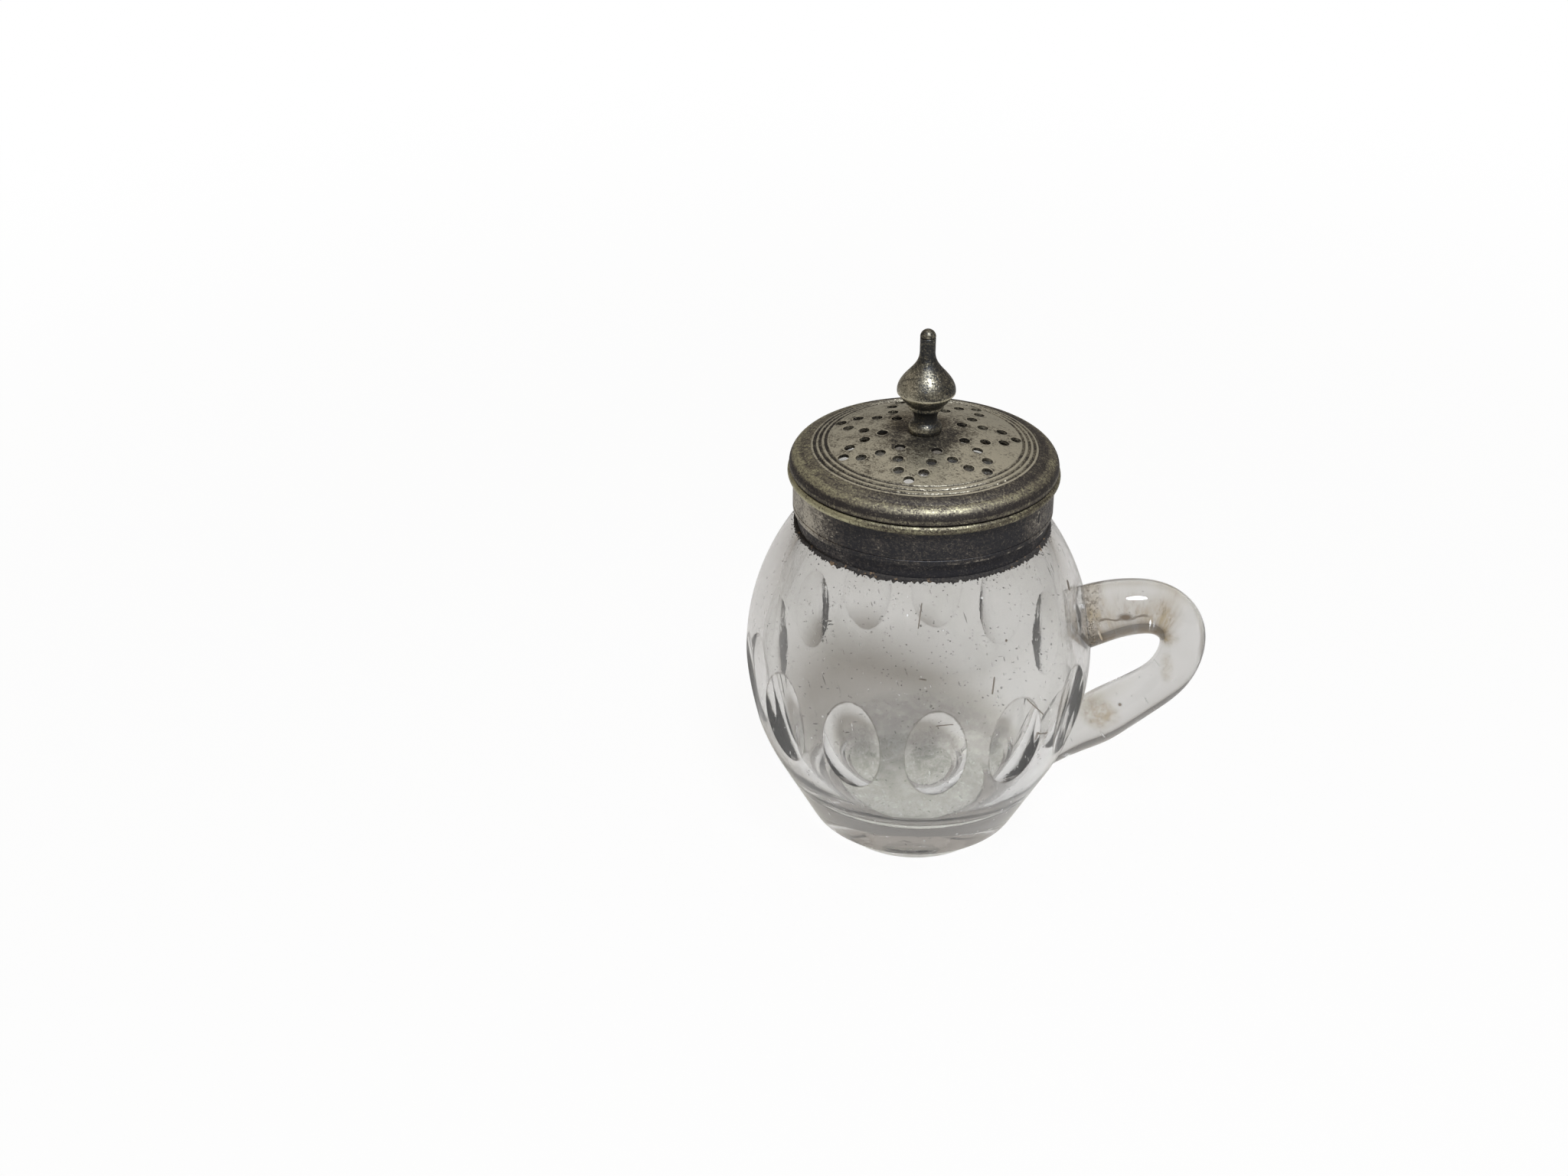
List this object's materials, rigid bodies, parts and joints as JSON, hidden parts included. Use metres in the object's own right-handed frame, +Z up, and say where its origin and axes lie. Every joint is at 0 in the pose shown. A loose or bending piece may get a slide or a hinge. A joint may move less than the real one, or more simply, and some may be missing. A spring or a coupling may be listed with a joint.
{
  "type": "salt shaker",
  "caption": "Handled clear-glass salt caster with ground ovals, a cemented metal collar and a pull-off pierced metal cover topped by a turned finial.",
  "frame": {"origin": "centre of the flat glass base, on the surface it stands on", "axes": "+Z up along the barrel's axis, +X towards the handle"},
  "size_m": [0.0745, 0.056, 0.0887],
  "materials": {
    "clear_glass": "polished, a little worn",
    "plaster": "dirty plaster",
    "tarnished_plate": "dark tarnish",
    "bright_plate": "warm, worn bright on the rounds",
    "worn_plate": "mottled, scratched",
    "nut_metal": "dull"
  },
  "bodies": {
    "bottle": {"glass_body": "clear_glass", "glass_handle": "clear_glass", "collar_cement": "plaster", "collar_band": "tarnished_plate", "collar_bezel": "tarnished_plate"},
    "cover": {"cover_skirt": "tarnished_plate", "cover_bead": "bright_plate", "cover_rim": "bright_plate", "cover_top": "worn_plate", "finial": "worn_plate", "finial_washer": "nut_metal", "finial_nut": "nut_metal"}
  },
  "joints": [
    {"name": "cover_lift", "type": "slide", "parent": "bottle", "child": "cover", "axis": [0, 0, 1], "range_m": [0, 0.03]}
  ]
}
